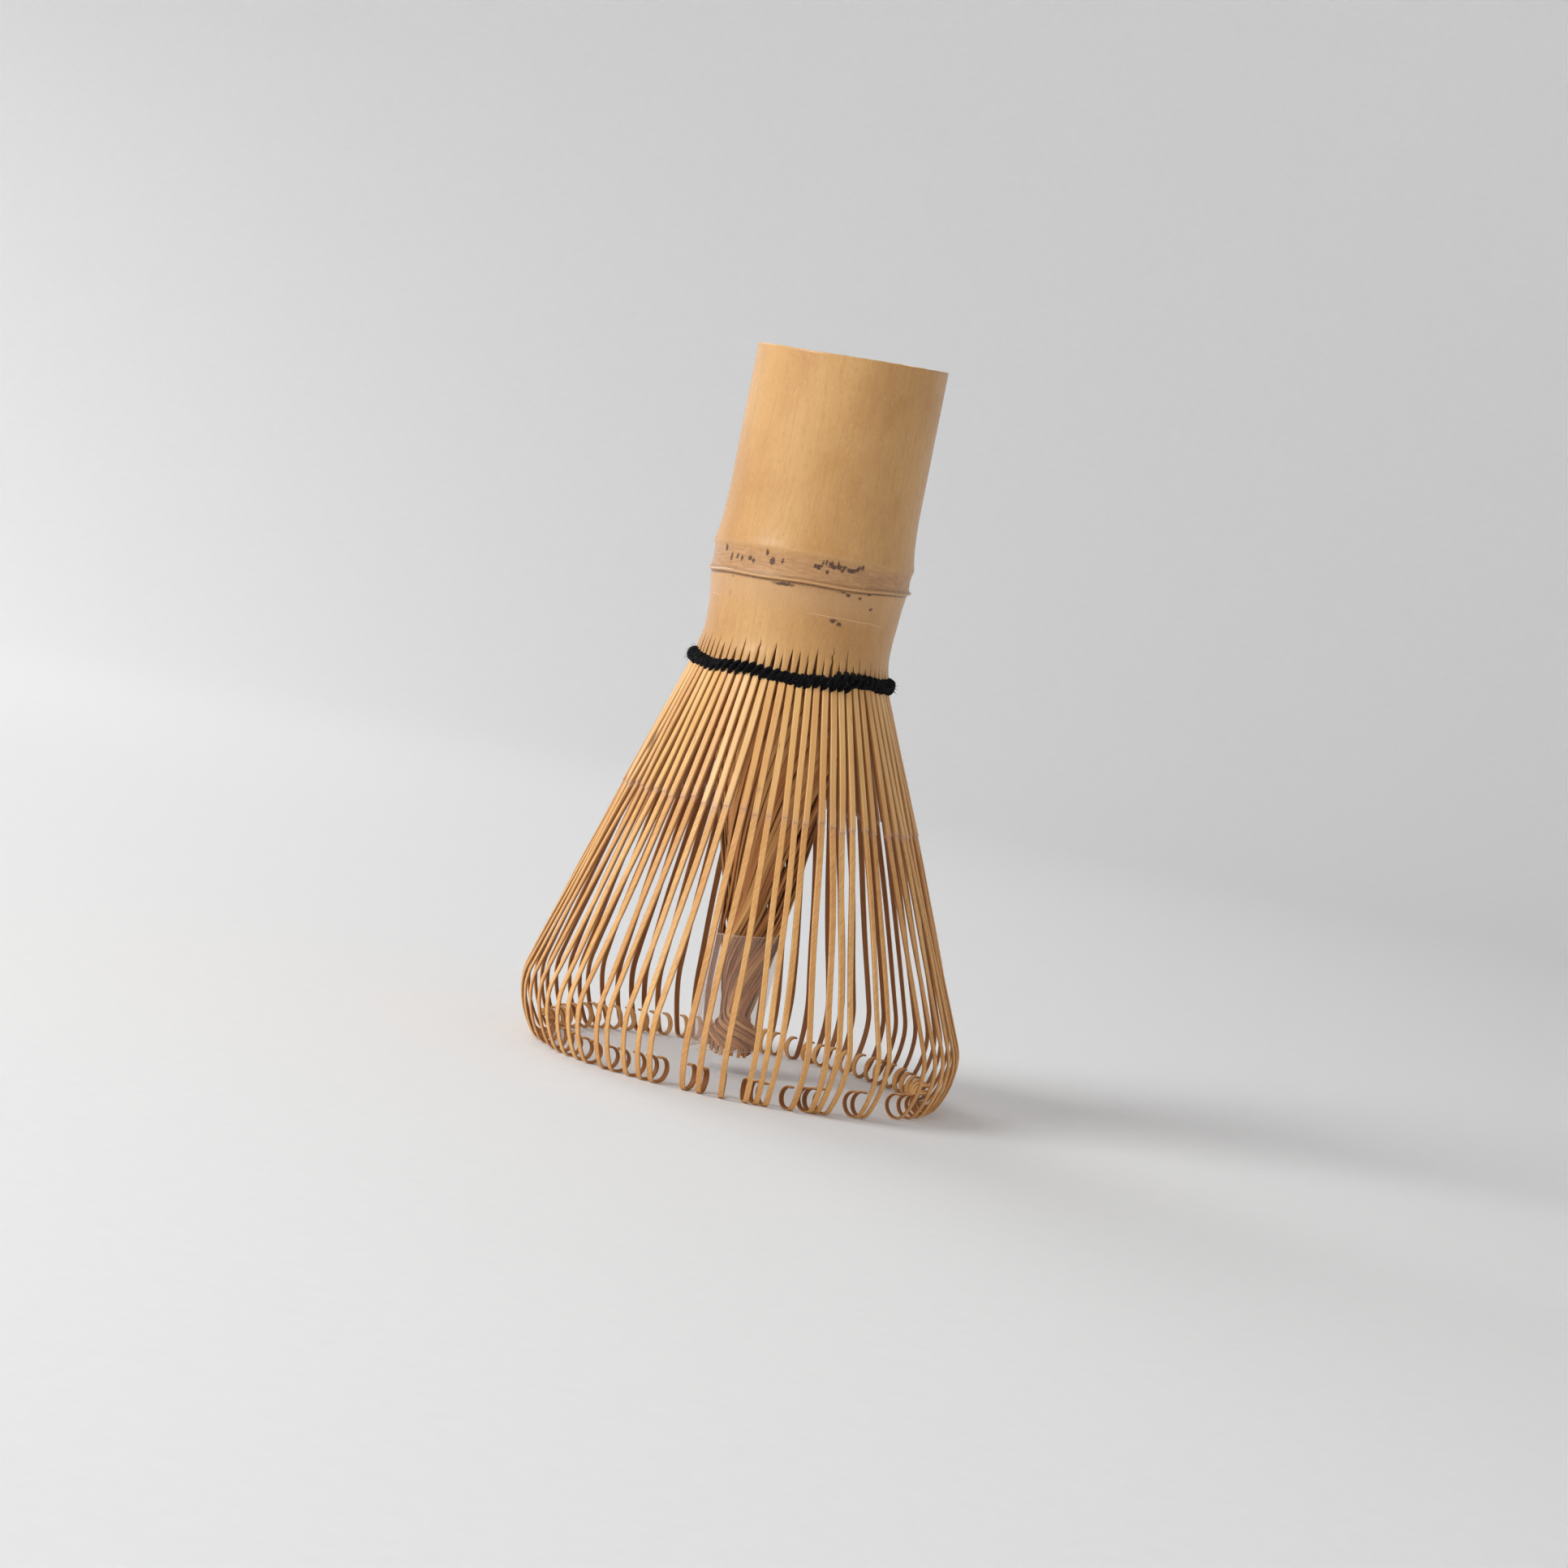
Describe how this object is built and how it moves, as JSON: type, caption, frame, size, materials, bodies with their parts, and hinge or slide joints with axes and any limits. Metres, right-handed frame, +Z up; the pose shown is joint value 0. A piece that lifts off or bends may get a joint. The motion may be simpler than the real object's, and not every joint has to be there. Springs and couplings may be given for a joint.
{
  "type": "bamboo tea whisk",
  "caption": "Bamboo tea whisk: hollow culm handle with a node, flared springy outer tines with curled tips, a twisted inner core, a black thread binding and a clear film sleeve on the core.",
  "frame": {"origin": "middle of the footprint, on the surface that the curled tips stand on", "axes": "+Z up along the handle towards its cut end; +X is the side that the cage of tines leans to; -Y is the front"},
  "size_m": [0.0642, 0.0642, 0.104],
  "materials": {
    "bamboo_culm": "satin",
    "bamboo_tine": "satin",
    "bamboo_core": "satin",
    "thread": "matte",
    "film": "gloss"
  },
  "bodies": {
    "handle": {"handle": "bamboo_culm", "binding_thread": "thread", "inner_tines_01": "bamboo_core", "inner_tines_02": "bamboo_core", "inner_tines_03": "bamboo_core", "inner_tines_04": "bamboo_core", "inner_tines_05": "bamboo_core", "inner_tines_06": "bamboo_core", "inner_tines_07": "bamboo_core", "inner_tines_08": "bamboo_core", "inner_tines_09": "bamboo_core", "inner_tines_10": "bamboo_core", "inner_tines_11": "bamboo_core", "inner_tines_12": "bamboo_core", "inner_tines_13": "bamboo_core", "inner_tines_14": "bamboo_core", "inner_tines_15": "bamboo_core", "inner_tines_16": "bamboo_core", "inner_tines_17": "bamboo_core", "inner_tines_18": "bamboo_core"},
    "tines_01": {"outer_tines_01": "bamboo_tine"},
    "tines_02": {"outer_tines_02": "bamboo_tine"},
    "tines_03": {"outer_tines_03": "bamboo_tine"},
    "tines_04": {"outer_tines_04": "bamboo_tine"},
    "tines_05": {"outer_tines_05": "bamboo_tine"},
    "tines_06": {"outer_tines_06": "bamboo_tine"},
    "tines_07": {"outer_tines_07": "bamboo_tine"},
    "tines_08": {"outer_tines_08": "bamboo_tine"},
    "tines_09": {"outer_tines_09": "bamboo_tine"},
    "tines_10": {"outer_tines_10": "bamboo_tine"},
    "tines_11": {"outer_tines_11": "bamboo_tine"},
    "tines_12": {"outer_tines_12": "bamboo_tine"},
    "tines_13": {"outer_tines_13": "bamboo_tine"},
    "tines_14": {"outer_tines_14": "bamboo_tine"},
    "tines_15": {"outer_tines_15": "bamboo_tine"},
    "tines_16": {"outer_tines_16": "bamboo_tine"},
    "tines_17": {"outer_tines_17": "bamboo_tine"},
    "tines_18": {"outer_tines_18": "bamboo_tine"},
    "film": {"film_sleeve": "film"}
  },
  "joints": [
    {"name": "flex_01", "type": "hinge", "parent": "handle", "child": "tines_01", "pos_m": [0.01132, 0, 0.0585], "axis": [0, -1, 0], "range_deg": [-2.5, 6], "stiffness_Nm_per_rad": 0.031},
    {"name": "flex_02", "type": "hinge", "parent": "handle", "child": "tines_02", "pos_m": [0.01049, 0.00472, 0.0585], "axis": [0.342, -0.9397, 0], "range_deg": [-2.5, 6], "stiffness_Nm_per_rad": 0.031},
    {"name": "flex_03", "type": "hinge", "parent": "handle", "child": "tines_03", "pos_m": [0.0081, 0.00887, 0.0585], "axis": [0.6428, -0.766, 0], "range_deg": [-2.5, 6], "stiffness_Nm_per_rad": 0.031},
    {"name": "flex_04", "type": "hinge", "parent": "handle", "child": "tines_04", "pos_m": [0.00443, 0.01195, 0.0585], "axis": [0.866, -0.5, 0], "range_deg": [-2.5, 6], "stiffness_Nm_per_rad": 0.031},
    {"name": "flex_05", "type": "hinge", "parent": "handle", "child": "tines_05", "pos_m": [-0.00008, 0.01359, 0.0585], "axis": [0.9848, -0.1736, 0], "range_deg": [-2.5, 6], "stiffness_Nm_per_rad": 0.031},
    {"name": "flex_06", "type": "hinge", "parent": "handle", "child": "tines_06", "pos_m": [-0.00487, 0.01359, 0.0585], "axis": [0.9848, 0.1736, 0], "range_deg": [-2.5, 6], "stiffness_Nm_per_rad": 0.031},
    {"name": "flex_07", "type": "hinge", "parent": "handle", "child": "tines_07", "pos_m": [-0.00937, 0.01195, 0.0585], "axis": [0.866, 0.5, 0], "range_deg": [-2.5, 6], "stiffness_Nm_per_rad": 0.031},
    {"name": "flex_08", "type": "hinge", "parent": "handle", "child": "tines_08", "pos_m": [-0.01305, 0.00887, 0.0585], "axis": [0.6428, 0.766, 0], "range_deg": [-2.5, 6], "stiffness_Nm_per_rad": 0.031},
    {"name": "flex_09", "type": "hinge", "parent": "handle", "child": "tines_09", "pos_m": [-0.01544, 0.00472, 0.0585], "axis": [0.342, 0.9397, 0], "range_deg": [-2.5, 6], "stiffness_Nm_per_rad": 0.031},
    {"name": "flex_10", "type": "hinge", "parent": "handle", "child": "tines_10", "pos_m": [-0.01628, 0, 0.0585], "axis": [0, 1, 0], "range_deg": [-2.5, 6], "stiffness_Nm_per_rad": 0.031},
    {"name": "flex_11", "type": "hinge", "parent": "handle", "child": "tines_11", "pos_m": [-0.01544, -0.00472, 0.0585], "axis": [-0.342, 0.9397, 0], "range_deg": [-2.5, 6], "stiffness_Nm_per_rad": 0.031},
    {"name": "flex_12", "type": "hinge", "parent": "handle", "child": "tines_12", "pos_m": [-0.01305, -0.00887, 0.0585], "axis": [-0.6428, 0.766, 0], "range_deg": [-2.5, 6], "stiffness_Nm_per_rad": 0.031},
    {"name": "flex_13", "type": "hinge", "parent": "handle", "child": "tines_13", "pos_m": [-0.00937, -0.01195, 0.0585], "axis": [-0.866, 0.5, 0], "range_deg": [-2.5, 6], "stiffness_Nm_per_rad": 0.031},
    {"name": "flex_14", "type": "hinge", "parent": "handle", "child": "tines_14", "pos_m": [-0.00487, -0.01359, 0.0585], "axis": [-0.9848, 0.1736, 0], "range_deg": [-2.5, 6], "stiffness_Nm_per_rad": 0.031},
    {"name": "flex_15", "type": "hinge", "parent": "handle", "child": "tines_15", "pos_m": [-0.00008, -0.01359, 0.0585], "axis": [-0.9848, -0.1736, 0], "range_deg": [-2.5, 6], "stiffness_Nm_per_rad": 0.031},
    {"name": "flex_16", "type": "hinge", "parent": "handle", "child": "tines_16", "pos_m": [0.00443, -0.01195, 0.0585], "axis": [-0.866, -0.5, 0], "range_deg": [-2.5, 6], "stiffness_Nm_per_rad": 0.031},
    {"name": "flex_17", "type": "hinge", "parent": "handle", "child": "tines_17", "pos_m": [0.0081, -0.00887, 0.0585], "axis": [-0.6428, -0.766, 0], "range_deg": [-2.5, 6], "stiffness_Nm_per_rad": 0.031},
    {"name": "flex_18", "type": "hinge", "parent": "handle", "child": "tines_18", "pos_m": [0.01049, -0.00472, 0.0585], "axis": [-0.342, -0.9397, 0], "range_deg": [-2.5, 6], "stiffness_Nm_per_rad": 0.031},
    {"name": "film_pull", "type": "slide", "parent": "handle", "child": "film", "axis": [0, 0, -1], "range_m": [0, 0.0185]}
  ]
}
